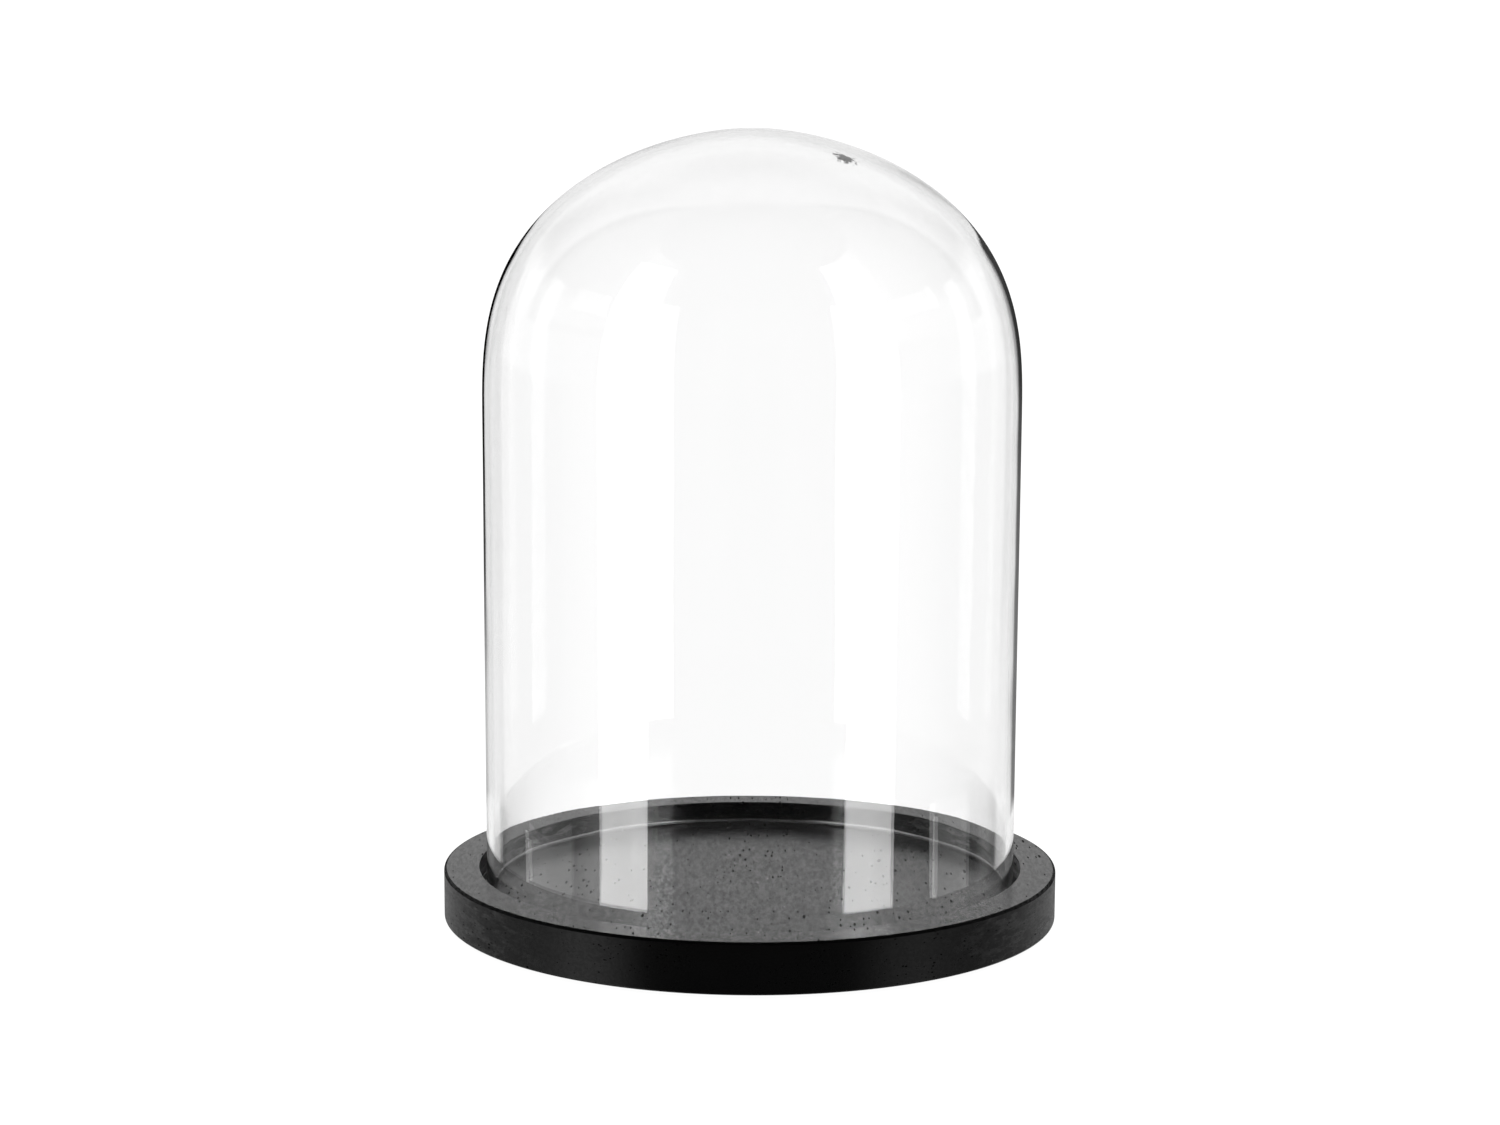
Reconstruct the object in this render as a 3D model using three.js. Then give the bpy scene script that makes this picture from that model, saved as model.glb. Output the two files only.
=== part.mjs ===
// Bell jar: a blown glass dome that stands in the round recess of a turned wooden base.
// Millimetres, +Z up. The pads stand on z = 0 and the axis of the dome is x = y = 0.

import * as THREE from 'three';

// ---- driving dimensions ----

const PAD_RADIUS = 9; // stick-on felt pads under the base
const PAD_THICKNESS = 1.2;
const PAD_EDGE = 0.3; // rounding of a pad's edges
const PAD_CIRCLE = 90; // radius of the circle the pads' centres lie on
const PAD_COUNT = 4;

const REST_GAP = 0.3; // between two pieces that rest on each other

const BASE_RADIUS = 117.5;
const BASE_THICKNESS = 18.7;
const BASE_TOP_ROUND = 1.0; // sanded outer edge, top
const BASE_BOTTOM_ROUND = 0.8; // sanded outer edge, bottom

const RECESS_RADIUS = 104;
const RECESS_DEPTH = 8;
const RECESS_LIP_ROUND = 0.4; // broken edge where the recess meets the top
const RECESS_FLOOR_FILLET = 0.5; // corner the cutter leaves at the floor
const DISPLAY_RADIUS = 97; // floor inside the glass, where the exhibit stands

const RIM_RADIUS = 101.3; // outside of the glass at its rim
const SPRING_RADIUS = 101.7; // outside of the glass where the dome starts
const GLASS_WALL = 2.5;
const TUBE_HEIGHT = 182.1; // from the rim to where the dome starts
const DOME_HEIGHT = 105.4; // from there to the top
const DOME_POWER_R = 1.8; // the dome's section is (r/R)^1.8 + (z/H)^2.75 = 1
const DOME_POWER_Z = 2.75;

// ---- heights that follow from them ----

const BASE_BOTTOM = PAD_THICKNESS + REST_GAP;
const BASE_TOP = BASE_BOTTOM + BASE_THICKNESS;
const RECESS_FLOOR = BASE_TOP - RECESS_DEPTH;
const RIM_BOTTOM = RECESS_FLOOR + REST_GAP;
const SPRING_HEIGHT = RIM_BOTTOM + TUBE_HEIGHT;

// ---- fineness ----

const GLASS_SEGMENTS = 72;
const BASE_SEGMENTS = 96;
const PAD_SEGMENTS = 32;
const DOME_ROWS = 16;
const TUBE_ROWS = 2;
const RIM_STEPS = 6;
const OUTER_EDGE_STEPS = 3;
const SMALL_EDGE_STEPS = 2;

// ---- materials ----

const GLASS = new THREE.MeshStandardMaterial({
  name: 'clear_glass',
  color: 0xf4f8f8,
  roughness: 0.02,
  metalness: 0,
  transparent: true,
  opacity: 0.3,
});
const WOOD = new THREE.MeshStandardMaterial({
  name: 'black_stained_wood',
  color: 0x1c1a19,
  roughness: 0.45,
  metalness: 0,
});
const FELT = new THREE.MeshStandardMaterial({
  name: 'felt',
  color: 0x2a2a2b,
  roughness: 1,
  metalness: 0,
});

// ---- helpers ----

// Points of a circular arc about (cr, cz), from angle a0 to a1 in degrees; 0 points outwards, 90 up.
function arc(cr, cz, radius, a0, a1, steps) {
  const points = [];
  for (let i = 0; i <= steps; i += 1) {
    const a = THREE.MathUtils.degToRad(a0 + ((a1 - a0) * i) / steps);
    points.push(new THREE.Vector2(cr + radius * Math.cos(a), cz + radius * Math.sin(a)));
  }
  return points;
}

// A profile of (radius, height) points, from the axis round to the axis, turned about +Z.
function turned(profile, segments) {
  const geometry = new THREE.LatheGeometry(profile, segments);
  geometry.rotateX(Math.PI / 2);
  return geometry;
}

function node(name, geometry, material) {
  const mesh = new THREE.Mesh(geometry, material);
  mesh.name = name;
  return mesh;
}

// ---- glass dome ----

// The outside of the glass from the rim to the top, as points with their outward normals.
function outerGlass() {
  const rows = [];
  const lean = Math.atan2(SPRING_RADIUS - RIM_RADIUS, TUBE_HEIGHT);
  const foot = RIM_BOTTOM + GLASS_WALL / 2;
  for (let i = 0; i < TUBE_ROWS; i += 1) {
    const t = i / TUBE_ROWS;
    rows.push({
      r: THREE.MathUtils.lerp(RIM_RADIUS, SPRING_RADIUS, t),
      z: THREE.MathUtils.lerp(foot, SPRING_HEIGHT, t),
      nr: Math.cos(lean),
      nz: -Math.sin(lean),
    });
  }
  for (let i = 0; i < DOME_ROWS; i += 1) {
    const a = ((Math.PI / 2) * i) / DOME_ROWS;
    const u = Math.cos(a) ** (2 / DOME_POWER_R);
    const v = Math.sin(a) ** (2 / DOME_POWER_Z);
    const nr = (DOME_POWER_R * u ** (DOME_POWER_R - 1)) / SPRING_RADIUS;
    const nz = (DOME_POWER_Z * v ** (DOME_POWER_Z - 1)) / DOME_HEIGHT;
    const length = Math.hypot(nr, nz);
    rows.push({
      r: SPRING_RADIUS * u,
      z: SPRING_HEIGHT + DOME_HEIGHT * v,
      nr: nr / length,
      nz: nz / length,
    });
  }
  rows.push({ r: 0, z: SPRING_HEIGHT + DOME_HEIGHT, nr: 0, nz: 1 });
  return rows;
}

function glassDome() {
  const rows = outerGlass();
  const outside = rows.map((p) => new THREE.Vector2(p.r, p.z));
  const inside = rows.map((p) => new THREE.Vector2(p.r - GLASS_WALL * p.nr, p.z - GLASS_WALL * p.nz));
  inside[inside.length - 1].x = 0;
  // The rim is melted round: a half circle as wide as the wall.
  const half = GLASS_WALL / 2;
  const rim = arc(RIM_RADIUS - half, RIM_BOTTOM + half, half, 180, 360, RIM_STEPS);
  const profile = [...inside.reverse().slice(0, -1), ...rim, ...outside.slice(1)];
  return node('glass_dome', turned(profile, GLASS_SEGMENTS), GLASS);
}

// ---- wooden base ----

function woodBase() {
  // Centres of the four rounded edges, as (radius, height).
  const bottomEdge = new THREE.Vector2(BASE_RADIUS - BASE_BOTTOM_ROUND, BASE_BOTTOM + BASE_BOTTOM_ROUND);
  const topEdge = new THREE.Vector2(BASE_RADIUS - BASE_TOP_ROUND, BASE_TOP - BASE_TOP_ROUND);
  const lip = new THREE.Vector2(RECESS_RADIUS + RECESS_LIP_ROUND, BASE_TOP - RECESS_LIP_ROUND);
  const fillet = new THREE.Vector2(RECESS_RADIUS - RECESS_FLOOR_FILLET, RECESS_FLOOR + RECESS_FLOOR_FILLET);
  const profile = [
    new THREE.Vector2(0, BASE_BOTTOM),
    ...arc(bottomEdge.x, bottomEdge.y, BASE_BOTTOM_ROUND, -90, 0, OUTER_EDGE_STEPS),
    ...arc(topEdge.x, topEdge.y, BASE_TOP_ROUND, 0, 90, OUTER_EDGE_STEPS),
    ...arc(lip.x, lip.y, RECESS_LIP_ROUND, 90, 180, SMALL_EDGE_STEPS),
    ...arc(fillet.x, fillet.y, RECESS_FLOOR_FILLET, 0, -90, SMALL_EDGE_STEPS),
    new THREE.Vector2(DISPLAY_RADIUS, RECESS_FLOOR),
    new THREE.Vector2(0, RECESS_FLOOR),
  ];
  return node('wood_base', turned(profile, BASE_SEGMENTS), WOOD);
}

// ---- felt pads ----

function feltPad(index) {
  const profile = [
    new THREE.Vector2(0, 0),
    ...arc(PAD_RADIUS - PAD_EDGE, PAD_EDGE, PAD_EDGE, -90, 0, SMALL_EDGE_STEPS),
    ...arc(PAD_RADIUS - PAD_EDGE, PAD_THICKNESS - PAD_EDGE, PAD_EDGE, 0, 90, SMALL_EDGE_STEPS),
    new THREE.Vector2(0, PAD_THICKNESS),
  ];
  const pad = node(`felt_pad_${index + 1}`, turned(profile, PAD_SEGMENTS), FELT);
  const a = (2 * Math.PI * (index + 0.5)) / PAD_COUNT;
  pad.position.set(PAD_CIRCLE * Math.cos(a), PAD_CIRCLE * Math.sin(a), 0);
  return pad;
}

// ---- the bell jar ----

const bellJar = new THREE.Group();
bellJar.name = 'bell_jar';
bellJar.add(woodBase());
bellJar.add(glassDome());
for (let i = 0; i < PAD_COUNT; i += 1) {
  bellJar.add(feltPad(i));
}

export default bellJar;
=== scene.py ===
"""Bell jar dome: the looks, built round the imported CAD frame. Metres, +Z up, the front is towards -Y."""

import math

import bpy
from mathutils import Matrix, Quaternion, Vector, noise


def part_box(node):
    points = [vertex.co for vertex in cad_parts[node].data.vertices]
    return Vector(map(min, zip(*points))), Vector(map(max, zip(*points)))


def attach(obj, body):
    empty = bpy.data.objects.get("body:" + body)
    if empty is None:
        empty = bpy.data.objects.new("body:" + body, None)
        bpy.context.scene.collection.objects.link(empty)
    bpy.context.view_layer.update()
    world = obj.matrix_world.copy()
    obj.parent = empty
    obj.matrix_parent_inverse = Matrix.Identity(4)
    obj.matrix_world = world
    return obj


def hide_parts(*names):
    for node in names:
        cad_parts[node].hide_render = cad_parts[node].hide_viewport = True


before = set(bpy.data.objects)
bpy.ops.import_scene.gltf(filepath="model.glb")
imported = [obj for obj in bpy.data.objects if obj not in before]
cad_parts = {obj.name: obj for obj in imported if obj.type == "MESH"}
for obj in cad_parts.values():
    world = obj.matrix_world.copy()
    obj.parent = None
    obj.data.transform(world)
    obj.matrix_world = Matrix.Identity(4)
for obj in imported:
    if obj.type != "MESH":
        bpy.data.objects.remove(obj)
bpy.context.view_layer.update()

MM = 0.001

# ---- sizes, from the frame ----

base_low, base_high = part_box("wood_base")
dome_low, dome_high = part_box("glass_dome")
BASE_RADIUS = (base_high.x - base_low.x) / 2
SPRING_RADIUS = (dome_high.x - dome_low.x) / 2  # widest place of the glass, where the dome starts
RIM_Z = dome_low.z
TOP_Z = dome_high.z
PAD_NODES = sorted(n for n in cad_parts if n.startswith("felt_pad"))

# ---- sizes that the boxes don't give ----

WALL = 2.5 * MM
RIM_RADIUS = SPRING_RADIUS - 0.4 * MM
DOME_HEIGHT = 105.4 * MM
DOME_POWER_R = 1.8  # the dome's section is (r/R)^1.8 + (z/H)^2.75 = 1
DOME_POWER_Z = 2.75
RECESS_RADIUS = 104 * MM
RECESS_DEPTH = 8 * MM
SPRING_Z = TOP_Z - DOME_HEIGHT
RECESS_Z = base_high.z - RECESS_DEPTH
DENT_SHADE_CENTRE = (32.3 * MM, -36 * MM, 286.0 * MM)  # middle of a painted shade on the inner face: a near-black patch for the dark of a dent in the glass

# ---- helpers ----


class Nodes:
    """Builds one shader tree.

    add(type, settings, **sockets) gives each socket a constant or another output. i0, i1 and so on name a
    socket by its number."""

    def __init__(self, tree):
        self.tree = tree
        tree.nodes.clear()

    def add(self, kind, settings=None, **inputs):
        node = self.tree.nodes.new(kind)
        for key, value in (settings or {}).items():
            setattr(node, key, value)
        for key, value in inputs.items():
            self.set(node, key.replace("_", " "), value)
        return node

    def set(self, node, key, value):
        socket = node.inputs[int(key[1:]) if key[0] == "i" and key[1:].isdigit() else key]
        if isinstance(value, bpy.types.Node):
            value = value.outputs[0]
        if isinstance(value, bpy.types.NodeSocket):
            self.tree.links.new(value, socket)
        else:
            socket.default_value = value

    def math(self, operation, a, b=0.0, c=0.0, clamp=False):
        settings = {"operation": operation, "use_clamp": clamp}
        return self.add("ShaderNodeMath", settings, i0=a, i1=b, i2=c).outputs[0]

    def ramp(self, value, low, high, out_low=0.0, out_high=1.0):
        """A smooth step of value between low and high."""
        settings = {"interpolation_type": "SMOOTHSTEP"}
        sockets = {"i0": value, "i1": low, "i2": high, "i3": out_low, "i4": out_high}
        return self.add("ShaderNodeMapRange", settings, **sockets).outputs[0]

    def lookup(self, value, pairs):
        """Straight lines between (value, result) pairs in rising order; results from 0 to 1."""
        low, high = pairs[0][0], pairs[-1][0]
        along = self.add("ShaderNodeMapRange", i0=value, i1=low, i2=high)
        node = self.add("ShaderNodeValToRGB", Fac=along)
        stops = node.color_ramp.elements
        while len(stops) < len(pairs):
            stops.new(0.5)
        for stop, (at, result) in zip(stops, pairs):
            stop.position = (at - low) / (high - low)
            stop.color = grey(result)
        return node.outputs[0]

    def mix(self, factor, a, b):
        """A colour between a and b."""
        node = self.add("ShaderNodeMix", {"data_type": "RGBA"})
        self.set(node, "i0", factor)
        self.set(node, "i6", a)
        self.set(node, "i7", b)
        return node.outputs[2]

    def noise(self, vector, scale, detail=2.0, roughness=0.5):
        sockets = {"Vector": vector, "Scale": scale, "Detail": detail, "Roughness": roughness}
        return self.add("ShaderNodeTexNoise", **sockets).outputs[0]

    def stretch(self, vector, per_metre):
        """vector scaled, so that a pattern of size 1 repeats per_metre times along X, Y and Z."""
        return self.add("ShaderNodeMapping", Vector=vector, Scale=per_metre).outputs[0]

    def place(self):
        """The point on the surface, in metres from the frame's origin or the pad's axis."""
        return self.add("ShaderNodeTexCoord").outputs["Object"]


def grey(value):
    return (value, value, value, 1.0)


def new_material(name):
    material = bpy.data.materials.new(name)
    material.use_nodes = True
    return material, Nodes(material.node_tree)


def in_scene(name, data):
    piece = bpy.data.objects.new(name, data)
    bpy.context.scene.collection.objects.link(piece)
    return piece


# ---- materials ----

# Patterns of the wood per metre along X, Y and Z. The grain runs along Y, so each is longest there.
FIGURE = (60, 9, 60)
FIBRES = (900, 230, 1200)
DAPPLE = (780, 175, 950)
PORES = (540, 115, 800)
PORE_CLUSTERS = (40, 15, 60)
SCUFFS_AND_SHEEN = (160, 38, 380)
DUST = 90.0
FINE_PORE, COARSE_PORE = 0.17, 0.34  # radii, in pattern widths
DUST_RADIUS = 0.03
STAIN_DARK, STAIN_LIGHT = 0.001, 0.003
# the lighter grey of the scuffs, which is also a painted sheen on the X sides
SCUFF_AND_SHEEN_GREY = 0.17
DUST_GREY = 0.5
WOOD_RELIEF = 0.04 * MM
LACQUER_IOR = 1.5
LACQUER_ROUGHNESS = 0.155
BARE_IOR = 1.2
BARE_ROUGHNESS = 0.9
BARE_ON_BOARD = 0.21  # share of the surface without lacquer
BARE_ON_EDGE = 0.8


def wood_material(name, bare_at_least):
    """Fine-grained board, stained black under patchy satin lacquer, and scuffed on its X sides, where the
    scuffs' lighter grey is also a painted sheen for the light the board's ends catch.
    """
    material, n = new_material(name)
    coords = n.add("ShaderNodeTexCoord")
    place = coords.outputs["Object"]
    normal = n.add("ShaderNodeSeparateXYZ", Vector=coords.outputs["Normal"])
    side = n.ramp(n.math("ABSOLUTE", normal.outputs["X"]), 0.55, 0.95)

    figure = n.noise(n.stretch(place, FIGURE), 1.0, 3.0)
    fibre = n.noise(n.stretch(place, FIBRES), 1.0, 3.0, 0.6)
    dapple = n.ramp(n.noise(n.stretch(place, DAPPLE), 1.0, 3.0, 0.75), 0.4, 0.6)
    pore_cells = n.add("ShaderNodeTexVoronoi", Vector=n.stretch(place, PORES), Scale=1.0)
    pore_size = n.noise(n.stretch(place, PORE_CLUSTERS), 1.0, 2.0)
    pore_size = n.ramp(pore_size, 0.35, 0.65, FINE_PORE, COARSE_PORE)
    pore_size = n.math("MULTIPLY", pore_size, pore_cells.outputs["Color"])
    pores = n.math("SUBTRACT", pore_size, pore_cells.outputs["Distance"])
    pores = n.ramp(pores, -0.02, 0.02)
    # Scuffs on the X-facing sides: partly wear, partly a painted sheen, the light that the board's ends
    # catch from the sides.
    scuffs_and_sheen = n.noise(n.stretch(place, SCUFFS_AND_SHEEN), 1.0, 5.0, 0.65)
    scuffs_and_sheen = n.math("MULTIPLY", n.ramp(scuffs_and_sheen, 0.46, 0.62), side)
    dust_cells = n.add("ShaderNodeTexVoronoi", Vector=place, Scale=DUST)
    dust = n.ramp(dust_cells.outputs["Distance"], DUST_RADIUS, DUST_RADIUS - 0.01)

    tone = n.math("MULTIPLY_ADD", fibre, 0.6, n.math("MULTIPLY", figure, 0.4))
    colour = n.mix(n.ramp(tone, 0.35, 0.65), grey(STAIN_DARK), grey(STAIN_LIGHT))
    # Lighter grey on the X sides: wear and painted sheen together.
    colour = n.mix(n.math("MULTIPLY", scuffs_and_sheen, 0.9), colour, grey(SCUFF_AND_SHEEN_GREY))
    colour = n.mix(dust, colour, grey(DUST_GREY))

    rough = n.math("MULTIPLY_ADD", fibre, 0.08, LACQUER_ROUGHNESS)
    rough = n.math("MULTIPLY_ADD", figure, 0.05, rough)
    rough = n.math("MULTIPLY_ADD", side, 0.2, rough)
    rough = n.math("MULTIPLY_ADD", scuffs_and_sheen, 0.15, rough)
    rough = n.math("MULTIPLY_ADD", dust, 0.5, rough, clamp=True)

    height = n.math("MULTIPLY_ADD", fibre, 0.5, n.math("MULTIPLY", pores, -1.0))
    height = n.math("MULTIPLY_ADD", scuffs_and_sheen, 1.5, height)
    bump = n.add("ShaderNodeBump", Height=height, Strength=0.4, Distance=WOOD_RELIEF)

    lacquer = n.add(
        "ShaderNodeBsdfPrincipled", Base_Color=colour, Roughness=rough, IOR=LACQUER_IOR, Normal=bump
    )
    bare = n.add(
        "ShaderNodeBsdfPrincipled",
        Base_Color=grey(STAIN_DARK),
        Roughness=BARE_ROUGHNESS,
        IOR=BARE_IOR,
    )
    bare_share = n.math("MULTIPLY_ADD", dapple, 0.19, bare_at_least, clamp=True)
    bare_share = n.math("MAXIMUM", n.math("MULTIPLY", pores, 0.95), bare_share)
    shader = n.add("ShaderNodeMixShader", Fac=bare_share, i1=lacquer, i2=bare)
    n.add("ShaderNodeOutputMaterial", Surface=shader)
    return material


# Patterns of the glass per metre along X, Y and Z. It was drawn upwards, so its lines are long along Z.
DRAW_LINES = (60, 60, 2.5)
FINE_LINES = (420, 420, 3)
SLOW_WAVES = (12, 12, 26)
RIM_CHILL = (900, 900, 900)
GLASS_IOR = 1.5
GLASS_RELIEF = 0.12 * MM
RIM_RELIEF = 0.05 * MM
MARK_RADIUS = 11.0 * MM  # of distance and raggedness together; the raggedness alone is about 8 mm
MARK_EDGE = 1.2 * MM
MARK_RAGGEDNESS = 16 * MM


def clear_glass(n, roughness, bump):
    return n.add(
        "ShaderNodeBsdfPrincipled",
        Base_Color=grey(1.0),
        Roughness=roughness,
        IOR=GLASS_IOR,
        Transmission_Weight=1.0,
        Normal=bump,
    )


def glass_material(name, relief_scale, with_dent_shade=False):
    """Clear blown glass with faint draw lines and slow waves, and, if asked for, a painted shade: a
    near-black patch for the dark of a dent.
    """
    material, n = new_material(name)
    place = n.place()
    draw_lines = n.noise(n.stretch(place, DRAW_LINES), 1.0, 3.0, 0.6)
    waves = n.noise(n.stretch(place, SLOW_WAVES), 1.0, 1.0)
    fine_lines = n.noise(n.stretch(place, FINE_LINES), 1.0, 2.0)
    relief = n.math("MULTIPLY_ADD", draw_lines, 0.12, n.math("MULTIPLY", fine_lines, 0.04))
    relief = n.math("MULTIPLY_ADD", waves, 1.4, relief)
    relief = n.math("MULTIPLY", relief, relief_scale)
    bump = n.add("ShaderNodeBump", Height=relief, Strength=1.0, Distance=GLASS_RELIEF)
    surface = clear_glass(n, 0.0, bump)
    if with_dent_shade:
        away = n.add("ShaderNodeVectorMath", {"operation": "DISTANCE"}, i0=place, i1=DENT_SHADE_CENTRE)
        ragged = n.noise(place, 420.0, 4.0, 0.7)
        ragged = n.math("MULTIPLY_ADD", ragged, MARK_RAGGEDNESS, away.outputs["Value"])
        # Painted shade: near-black, half-rough glass standing in for the dark that a dent in the glass
        # shows.
        painted_dent_shade = n.add("ShaderNodeBsdfPrincipled", Base_Color=grey(0.01), Roughness=0.5)
        share = n.ramp(ragged, MARK_RADIUS + MARK_EDGE, MARK_RADIUS, 0.0, 0.95)
        surface = n.add("ShaderNodeMixShader", Fac=share, i1=surface, i2=painted_dent_shade)
    n.add("ShaderNodeOutputMaterial", Surface=surface)
    return material


def rim_material():
    """The melted rim: slightly satin, with a painted highlight along each edge, a white line standing in
    for the lamps' glints, stronger towards the X sides.
    """
    material, n = new_material("satin_glass_rim_and_painted_glints")
    place = n.place()
    chill_and_glint = n.noise(n.stretch(place, RIM_CHILL), 1.0, 3.0, 0.6)
    rough = n.math("MULTIPLY_ADD", chill_and_glint, 0.2, 0.08)
    bump = n.add("ShaderNodeBump", Height=chill_and_glint, Strength=0.5, Distance=RIM_RELIEF)
    glass = clear_glass(n, rough, bump)
    # Painted highlight: white diffuse glass along the rim's edges, in place of the lamps' glints; the chill
    # pattern breaks it up.
    white = n.add("ShaderNodeBsdfPrincipled", Base_Color=grey(0.8), Roughness=0.6, Normal=bump)
    axes = n.add("ShaderNodeSeparateXYZ", Vector=place)
    from_middle = n.math("ABSOLUTE", n.math("SUBTRACT", axes.outputs["Z"], RIM_Z + WALL / 4))
    edges = n.ramp(from_middle, WALL / 8, WALL / 4.5)
    # The painted highlight grows towards the X sides, where the lamps' glints fall.
    glint_sides = n.math("ABSOLUTE", axes.outputs["X"])
    glint_sides = n.ramp(glint_sides, RIM_RADIUS / 5, RIM_RADIUS / 2.5, 0.0, 0.78)
    share = n.math("MULTIPLY", n.math("MULTIPLY", edges, glint_sides), chill_and_glint)
    surface = n.add("ShaderNodeMixShader", Fac=share, i1=glass, i2=white)
    n.add("ShaderNodeOutputMaterial", Surface=surface)
    return material


# Crossing fibres of the felt per metre along X, Y and Z.
FELT_FIBRES = (1500, 5000, 3000)
FELT_CROSSING = (5000, 1500, 3000)
FELT_RELIEF = 0.2 * MM


def felt_material():
    """Pressed wool felt: short crossing fibres, matt."""
    material, n = new_material("pressed_felt")
    place = n.place()
    fibres = n.noise(n.stretch(place, FELT_FIBRES), 1.0, 3.0, 0.7)
    crossing = n.noise(n.stretch(place, FELT_CROSSING), 1.0, 3.0, 0.7)
    clumps = n.noise(place, 600.0, 2.0)
    pile = n.math("MAXIMUM", fibres, crossing)
    tone = n.math("MULTIPLY_ADD", clumps, 0.4, n.math("MULTIPLY", pile, 0.6))
    colour = n.mix(n.ramp(tone, 0.4, 0.62), grey(0.02), grey(0.075))
    bump = n.add("ShaderNodeBump", Height=pile, Strength=0.8, Distance=FELT_RELIEF)
    shader = n.add(
        "ShaderNodeBsdfPrincipled", Base_Color=colour, Roughness=0.95, Sheen_Weight=0.3, Normal=bump
    )
    n.add("ShaderNodeOutputMaterial", Surface=shader)
    return material


# ---- turned shapes ----


def arc(centre_r, centre_z, radius, start, end, steps):
    """Points (r, z) of a circular arc, angles in degrees: 0 is outwards and 90 is up."""
    points = []
    for i in range(steps + 1):
        a = math.radians(start + (end - start) * i / steps)
        points.append((centre_r + radius * math.cos(a), centre_z + radius * math.sin(a)))
    return points


def turned(name, profile, segments, materials, row_material=None, point=None):
    """A closed surface: the profile's (r, z), from the axis round to the axis, turned about Z.

    point(row, angle), where given, takes the place of the profile's (r, z)."""
    last_row = len(profile) - 1
    vertices = [(0.0, 0.0, profile[0][1])]
    for row in range(1, last_row):
        for s in range(segments):
            angle = 2 * math.pi * s / segments
            r, z = point(row, angle) if point else profile[row]
            vertices.append((r * math.cos(angle), r * math.sin(angle), z))
    vertices.append((0.0, 0.0, profile[-1][1]))

    def index(row, s):
        return 1 + (row - 1) * segments + s % segments

    faces = []
    rows = []
    for s in range(segments):
        faces.append((0, index(1, s + 1), index(1, s)))
        rows.append(0)
    for row in range(1, last_row - 1):
        for s in range(segments):
            faces.append((index(row, s), index(row, s + 1), index(row + 1, s + 1), index(row + 1, s)))
            rows.append(row)
    for s in range(segments):
        faces.append((index(last_row - 1, s), index(last_row - 1, s + 1), len(vertices) - 1))
        rows.append(last_row - 1)
    mesh = bpy.data.meshes.new(name)
    mesh.from_pydata(vertices, [], faces)
    for material in materials:
        mesh.materials.append(material)
    for polygon, row in zip(mesh.polygons, rows):
        polygon.use_smooth = True
        polygon.material_index = row_material(row) if row_material else 0
    mesh.update()
    return in_scene(name, mesh)


# ---- glass dome ----

TUBE_ROWS = 70
CROWN_ROWS = 72
RIM_ROWS = 14
GLASS_SEGMENTS = 288
FADE_ROWS = 5  # the unevenness fades out over so many rows beside an edge
THICK_SHOULDER = Vector((62 * MM, 0.0, 272 * MM))  # where the wall is thickest
# Depths of the wall's unevenness, and its repeats per metre.
OUTER_WAVES = 0.10 * MM
INNER_WAVES = 0.16 * MM
WORKED_WAVES = 0.10 * MM  # extra on the crown, most on its +X side
FOOT_RIPPLE = 0.03 * MM
SHOULDER_BULGE = 0.15 * MM
WAVES_PER_METRE = 14
WORKED_PER_METRE = 26
RIPPLE_PER_METRE = 60


def glass_outside():
    """(r, z, normal_r, normal_z) up the outside of the glass, from the rim to the top."""
    rows = []
    foot = RIM_Z + WALL / 2
    lean = math.atan2(SPRING_RADIUS - RIM_RADIUS, SPRING_Z - RIM_Z)
    for i in range(TUBE_ROWS):
        t = i / TUBE_ROWS
        r = RIM_RADIUS + (SPRING_RADIUS - RIM_RADIUS) * t
        rows.append((r, foot + (SPRING_Z - foot) * t, math.cos(lean), -math.sin(lean)))
    for i in range(CROWN_ROWS):
        a = math.pi / 2 * i / CROWN_ROWS
        u = math.cos(a) ** (2 / DOME_POWER_R)
        v = math.sin(a) ** (2 / DOME_POWER_Z)
        normal_r = DOME_POWER_R * u ** (DOME_POWER_R - 1) / SPRING_RADIUS
        normal_z = DOME_POWER_Z * v ** (DOME_POWER_Z - 1) / DOME_HEIGHT
        size = math.hypot(normal_r, normal_z)
        rows.append((SPRING_RADIUS * u, SPRING_Z + DOME_HEIGHT * v, normal_r / size, normal_z / size))
    rows.append((0.0, TOP_Z, 0.0, 1.0))
    return rows


def wave(place, scale, seed):
    """Smooth unevenness from 0 to 1 that repeats about once in 1 / scale metres."""
    return 0.5 + 0.5 * max(-1.0, min(1.0, 1.6 * noise.noise(place * scale + Vector((seed, seed, seed)))))


def swell_outside(place, nz):
    """How far the outer face lies inside the true shape."""
    return OUTER_WAVES * (1 - 0.9 * max(0.0, nz)) * wave(place, WAVES_PER_METRE, 0.0)


def swell_inside(place, nz):
    """How far the inner face lies inside the true shape. The wall is thickest on the +X shoulder."""
    crown = max(0.0, nz)
    worked = max(0.0, min(1.0, place.x / (40 * MM) + 0.6))
    shoulder = math.exp(-((place - THICK_SHOULDER).length / (26 * MM)) ** 2)
    foot = math.exp(-max(0.0, place.z - RIM_Z) / (30 * MM))
    ripple = 0.5 + 0.5 * math.sin(place.z / (2.6 * MM) + 2 * wave(place, RIPPLE_PER_METRE, 9.0))
    return (
        INNER_WAVES * (1 - 0.9 * crown) * wave(place, WAVES_PER_METRE, 7.0)
        + WORKED_WAVES * crown * worked * wave(place, WORKED_PER_METRE, 11.0)
        + FOOT_RIPPLE * foot * ripple
        + SHOULDER_BULGE * shoulder
    )


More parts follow.
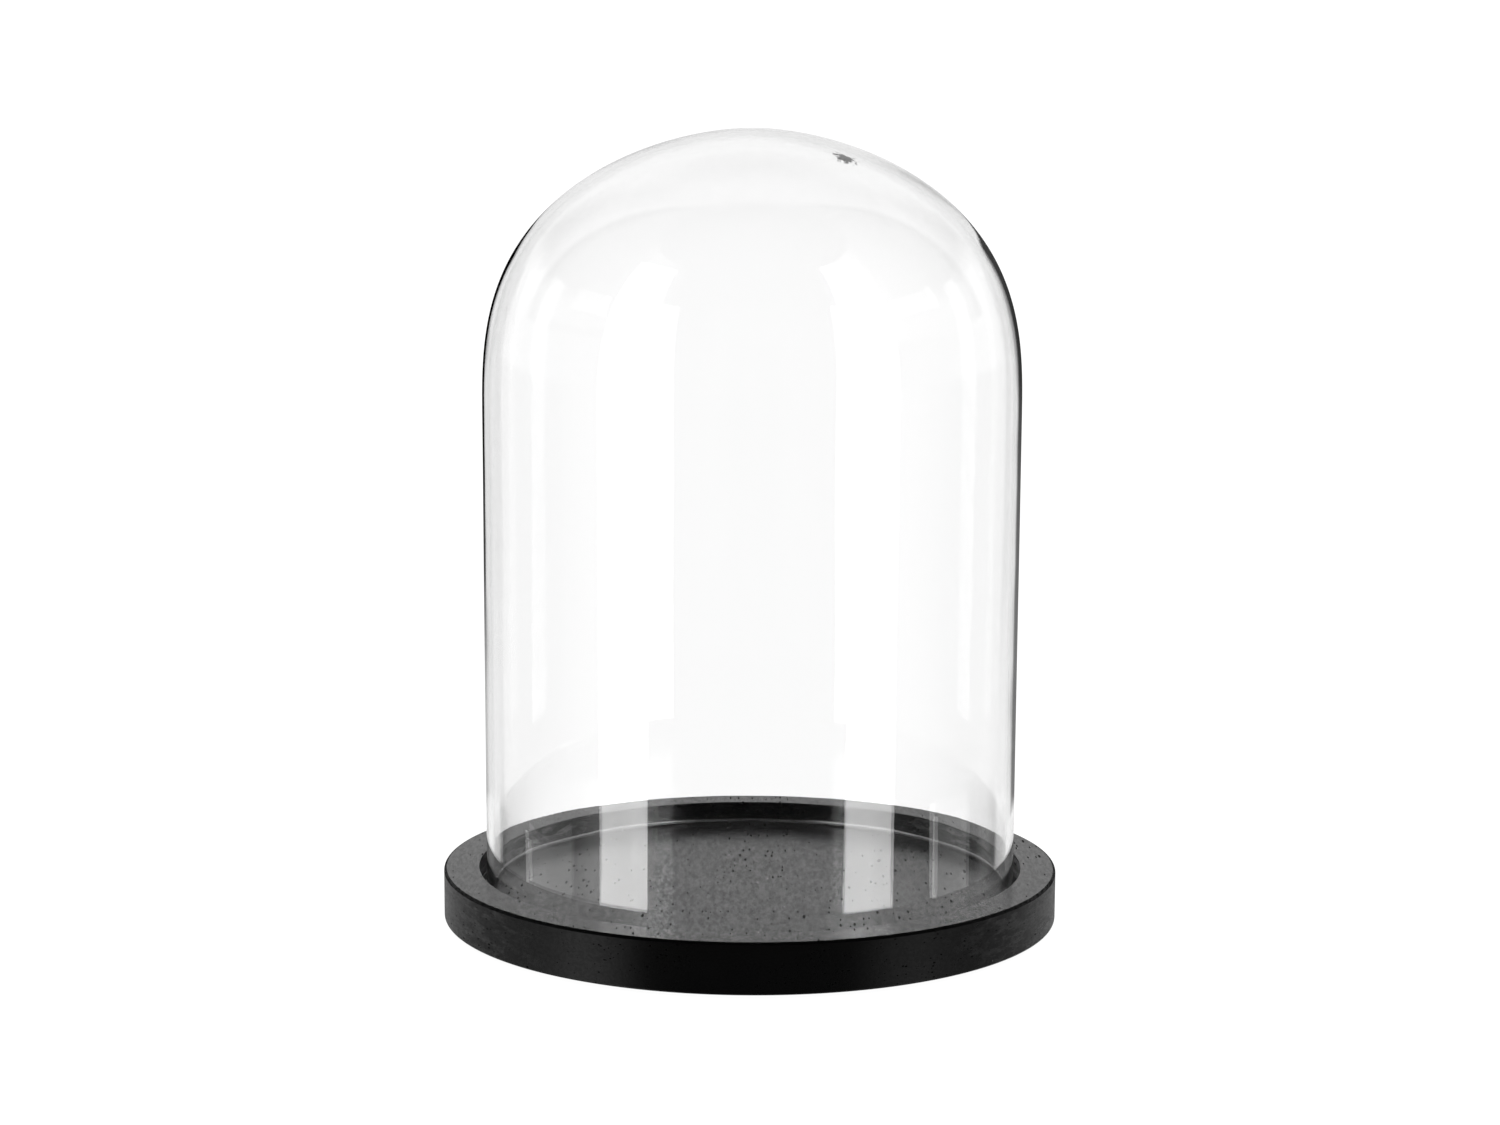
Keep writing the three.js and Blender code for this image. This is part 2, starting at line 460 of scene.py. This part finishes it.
def glass_dome():
    outside = glass_outside()
    inside = [(r - WALL * nr, z - WALL * nz, nr, nz) for r, z, nr, nz in outside]
    inside[-1] = (0.0, inside[-1][1], 0.0, 1.0)
    half = WALL / 2
    rim = [(r, z, 0.0, 0.0) for r, z in arc(RIM_RADIUS - half, RIM_Z + half, half, 180, 360, RIM_ROWS)]
    rows = inside[::-1][:-1] + rim + outside[1:]
    inner_rows = len(inside) - 1
    last = len(rows) - 1

    def blown(row, angle):
        r, z, nr, nz = rows[row]
        place = Vector((r * math.cos(angle), r * math.sin(angle), z))
        depth = swell_inside(place, nz) if row < inner_rows else swell_outside(place, nz)
        to_end = min(row, last - row, abs(row - inner_rows), abs(row - inner_rows - RIM_ROWS))
        depth *= min(1.0, to_end / FADE_ROWS)
        return r - nr * depth, z - nz * depth

    piece = turned(
        "blown_dome",
        [(r, z) for r, z, _, _ in rows],
        GLASS_SEGMENTS,
        [
            glass_material("clear_blown_glass", 1.0),
            glass_material("clear_blown_glass_inside", 1.3, with_dent_shade=True),
            rim_material(),
        ],
        lambda row: 1 if row < inner_rows else 2 if row < inner_rows + RIM_ROWS else 0,
        blown,
    )
    piece.visible_shadow = False
    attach(piece, "dome")
    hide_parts("glass_dome")
    return piece


# ---- wooden base ----

BASE_SEGMENTS = 256
TOP_ROUND = 1.0 * MM
TOP_ROUND_ROWS = 10
BOTTOM_ROUND = 0.8 * MM
LIP_ROUND = 0.4 * MM
FLOOR_FILLET = 0.5 * MM
HOLD = 0.12 * MM  # spacing of the rings that keep a flat face flat beside a rounded edge


def flat(start, end, z, steps):
    """Points along a flat ring from radius start to end, with a holding ring just inside each end."""
    direction = math.copysign(HOLD, end - start)
    middle = [start + (end - start) * i / steps for i in range(1, steps)]
    return [(r, z) for r in [start + direction, *middle, end - direction]]


def wood_base():
    bottom = base_low.z
    top = base_high.z
    lip = RECESS_RADIUS + LIP_ROUND
    fillet = RECESS_RADIUS - FLOOR_FILLET
    profile = [(0.0, bottom)]
    profile += flat(0.0, BASE_RADIUS - BOTTOM_ROUND, bottom, 8)[1:]
    profile += arc(BASE_RADIUS - BOTTOM_ROUND, bottom + BOTTOM_ROUND, BOTTOM_ROUND, -90, 0, 8)
    profile += [(BASE_RADIUS, bottom + BOTTOM_ROUND + HOLD), (BASE_RADIUS, top - TOP_ROUND - HOLD)]
    rubbed_rows = range(len(profile), len(profile) + TOP_ROUND_ROWS)
    profile += arc(BASE_RADIUS - TOP_ROUND, top - TOP_ROUND, TOP_ROUND, 0, 90, TOP_ROUND_ROWS)
    profile += flat(BASE_RADIUS - TOP_ROUND, lip, top, 4)
    profile += arc(lip, top - LIP_ROUND, LIP_ROUND, 90, 180, 6)
    profile += [(RECESS_RADIUS, top - LIP_ROUND - HOLD), (RECESS_RADIUS, RECESS_Z + FLOOR_FILLET + HOLD)]
    profile += arc(fillet, RECESS_Z + FLOOR_FILLET, FLOOR_FILLET, 0, -90, 6)
    profile += flat(fillet, 0.0, RECESS_Z, 8)[:-1]
    profile += [(0.0, RECESS_Z)]
    woods = [
        wood_material("black_stained_wood", BARE_ON_BOARD),
        wood_material("rubbed_edge", BARE_ON_EDGE),
    ]
    piece = turned("turned_board", profile, BASE_SEGMENTS, woods, lambda row: int(row in rubbed_rows))
    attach(piece, "base")
    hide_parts("wood_base")


# ---- felt pads ----

PAD_ROUND = 0.3 * MM
PAD_SEGMENTS = 96
CUT_DEPTH = 0.09 * MM  # how far the cut edge wanders inwards, on average


def felt_pad(node, material):
    """A die-cut disc of felt, a little uneven at the cut."""
    low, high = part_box(node)
    centre = (low + high) / 2
    radius = (high.x - low.x) / 2
    seed = centre.x * 100 + centre.y * 37
    profile = [(0.0, low.z)]
    profile += flat(0.0, radius - PAD_ROUND, low.z, 6)[1:]
    profile += arc(radius - PAD_ROUND, low.z + PAD_ROUND, PAD_ROUND, -90, 0, 5)
    profile += arc(radius - PAD_ROUND, high.z - PAD_ROUND, PAD_ROUND, 0, 90, 5)
    profile += flat(radius - PAD_ROUND, 0.0, high.z, 6)[:-1]
    profile += [(0.0, high.z)]

    def cut(row, angle):
        r, z = profile[row]
        edge = max(0.0, r / radius - 0.8) / 0.2
        at = Vector((math.cos(angle) * 9 + seed, math.sin(angle) * 9, z * 1500))
        return r - edge * CUT_DEPTH * (1 + noise.noise(at)), z

    piece = turned(node + "_felt", profile, PAD_SEGMENTS, [material], point=cut)
    piece.location = (centre.x, centre.y, 0.0)
    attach(piece, "base")
    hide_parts(node)


# ---- stage: camera, floor, surroundings and lights ----

CAMERA_DISTANCE = 8.475 * BASE_RADIUS
CAMERA_ELEVATION = math.radians(7.38)
CAMERA_ROLL = math.radians(0.28)
CAMERA_LENS = 62.69
CAMERA_CLIP = 200
AIM = Vector((-0.5 * MM, 0.0, base_low.z + 1.1475 * BASE_RADIUS))
WHITE = 1.13
FLOOR_HALF = 30.0
CONTACT_REACH = 30 * MM
CONTACT_WHITE = 0.985
# Brightness in reflections: tables of (place, brightness). Angles are in degrees from the back, heights are
# the Z part of the direction, and where an angle has a side it is positive to the right.
BACKDROP_LOW = [
    (14, 0.57),
    (20, 0.7),
    (28, 0.85),
    (34, 0.93),
    (40, 0.92),
    (55, 0.6),
    (78, 0.22),
    (124, 0.27),
    (145, 0),
]
BACKDROP_HIGH = [(0, 0.9), (50, 0.86), (90, 0.4), (130, 0.03)]
OVERHEAD = [(0.5, 1.0), (0.7, 0.8), (0.85, 0.2), (1.0, 0.03)]
# Each black card: its side, the angles its outer edge fades over, the heights its top fades over, and its
# brightness by height.
CARDS = [
    (-1, (-21.5, -18.5), (0.145, 0.12), [(-0.2, 0.6), (-0.165, 0.48), (-0.13, 0.07), (-0.08, 0.0)]),
    (1, (28, 22), (0.215, 0.185), [(-0.17, 0.2), (-0.05, 0.05)]),
]
TABLE_EDGE = -0.213  # height under which the white table shows
# Brightness of the white table and the floor round it, by the angle with its side.
TABLE_GLOW = [
    (-141, 0.0),
    (-128, 0.7),
    (-115, 1.0),
    (-101, 0.42),
    (-52, 0.3),
    (-44, 0.1),
    (-41, 0.95),
    (46, 0.95),
    (49, 0.1),
    (61, 0.4),
    (85, 0.24),
    (99, 0.24),
    (114, 0.62),
    (127, 0.44),
    (141, 0.0),
]


def camera():
    data = bpy.data.cameras.new("camera")
    data.lens = CAMERA_LENS
    data.sensor_width = 36
    data.clip_end = CAMERA_CLIP
    piece = in_scene("camera", data)
    away = Vector((0.0, -math.cos(CAMERA_ELEVATION), math.sin(CAMERA_ELEVATION)))
    piece.location = AIM + away * CAMERA_DISTANCE
    look = (-away).to_track_quat("-Z", "Y")
    piece.rotation_euler = (look @ Quaternion((0.0, 0.0, 1.0), CAMERA_ROLL)).to_euler()
    bpy.context.scene.camera = piece


def floor():
    """A plain white table: even in brightness, with only a soft contact shadow."""
    mesh = bpy.data.meshes.new("floor")
    corners = [(x * FLOOR_HALF, y * FLOOR_HALF, 0) for x, y in ((-1, -1), (1, -1), (1, 1), (-1, 1))]
    mesh.from_pydata(corners, [], [(0, 1, 2, 3)])
    material, n = new_material("white_table")
    shade = n.add("ShaderNodeAmbientOcclusion", {"samples": 16}, Distance=CONTACT_REACH).outputs["AO"]
    strength = n.ramp(shade, 0.2, 0.6, CONTACT_WHITE, WHITE)
    surface = n.add("ShaderNodeEmission", Color=grey(1.0), Strength=strength)
    n.add("ShaderNodeOutputMaterial", Surface=surface)
    mesh.materials.append(material)
    piece = in_scene("floor", mesh)
    piece.visible_glossy = False
    piece.visible_diffuse = False
    piece.visible_transmission = False
    piece.visible_shadow = False


def surroundings():
    """White wherever it is seen straight or through clear glass.

    In reflections: a backdrop behind with a black card on either side, a white table in front of it, grey
    sides, and a dark room in front."""
    world = bpy.data.worlds.new("studio")
    bpy.context.scene.world = world
    world.use_nodes = True
    n = Nodes(world.node_tree)
    axes = n.add("ShaderNodeSeparateXYZ", Vector=n.add("ShaderNodeTexCoord").outputs["Generated"])
    turn = n.math("MULTIPLY", n.math("ARCTAN2", axes.outputs["X"], axes.outputs["Y"]), 180 / math.pi)
    off = n.math("ABSOLUTE", turn)
    z = axes.outputs["Z"]

    low = n.lookup(off, BACKDROP_LOW)
    high = n.math("MULTIPLY", n.lookup(off, BACKDROP_HIGH), n.lookup(z, OVERHEAD))
    overhead_side = n.math("MULTIPLY", n.ramp(off, 25, 45), n.ramp(z, 0.33, 0.48))
    high = n.math("MULTIPLY", high, n.math("MULTIPLY_ADD", overhead_side, -0.75, 1.0))
    seen = n.mix(n.ramp(z, -0.005, 0.02), low, high)

    # The cards' inner edges slant outwards with height.
    slant = n.math("MAXIMUM", n.math("MULTIPLY_ADD", z, 108.0, -0.9), 6.5)
    inner_edge = n.ramp(n.math("SUBTRACT", off, slant), 0, 2)
    for side, outer_fade, top_fade, glow in CARDS:
        card = n.math("MULTIPLY", inner_edge, n.ramp(turn, -side, side))
        card = n.math("MULTIPLY", n.ramp(turn, *outer_fade), card)
        card = n.math("MULTIPLY", card, n.ramp(z, *top_fade))
        seen = n.mix(card, seen, n.lookup(z, glow))

    below = n.lookup(turn, TABLE_GLOW)
    far_right = n.math("MULTIPLY", n.ramp(turn, 55, 70), n.ramp(z, -0.265, -0.245))
    below = n.math("MULTIPLY", below, n.math("MULTIPLY_ADD", far_right, -0.85, 1.0))
    seen = n.mix(n.ramp(z, TABLE_EDGE, TABLE_EDGE - 0.009), seen, below)
    path = n.add("ShaderNodeLightPath")
    bounces = n.math("ADD", path.outputs["Glossy Depth"], path.outputs["Diffuse Depth"])
    reflected = n.math("GREATER_THAN", bounces, 0.5)
    strength = n.add("ShaderNodeMix", {"data_type": "FLOAT"}, i0=reflected, i2=WHITE, i3=seen).outputs[0]
    background = n.add("ShaderNodeBackground", Color=grey(1.0), Strength=strength)
    n.add("ShaderNodeOutputWorld", Surface=background)


# name, azimuths from the front and elevations that the panel reaches over, in degrees, and its radiance
PANELS = [
    ("strip_left", (-63.4, -41.8), (-18, 52), 4.9),
    ("strip_right", (38.6, 60.3), (-18, 54), 4.9),
    ("side_left", (-104.5, -77.9), (-18, -10), 0.45),
    ("side_left_edge", (-107, -104.5), (-18, -10), 1.3),
    ("side_right", (83.0, 103.0), (-18, -9), 0.5),
    ("side_right_edge", (80.0, 83.0), (-18, -9), 2.0),
]


def panel(name, azimuths, elevations, radiance, lit_only):
    """An upright light panel 1 m away, which lights one piece and nothing else."""
    start, end = (math.radians(a) for a in azimuths)
    middle = (start + end) / 2
    width = 2 * math.tan(abs(end - start) / 2)
    bottom, top = (math.tan(math.radians(e)) for e in elevations)
    data = bpy.data.lights.new(name, "AREA")
    data.shape = "RECTANGLE"
    data.size = width
    data.size_y = top - bottom
    data.energy = radiance * math.pi * width * (top - bottom)
    piece = in_scene(name, data)
    towards = Vector((math.sin(middle), -math.cos(middle), 0.0))
    piece.location = towards + Vector((0.0, 0.0, (bottom + top) / 2))
    piece.rotation_euler = towards.to_track_quat("Z", "Y").to_euler()
    piece.visible_camera = False
    lit = bpy.data.collections.new(name + "_lights")
    lit.objects.link(lit_only)
    piece.light_linking.receiver_collection = lit


def lights(glass):
    bpy.context.scene.view_settings.view_transform = "Standard"
    for name, azimuths, elevations, radiance in PANELS:
        panel(name, azimuths, elevations, radiance, glass)


# ---- everything ----

camera()
wood_base()
dome = glass_dome()
felt = felt_material()
for pad in PAD_NODES:
    felt_pad(pad, felt)
floor()
surroundings()
lights(dome)
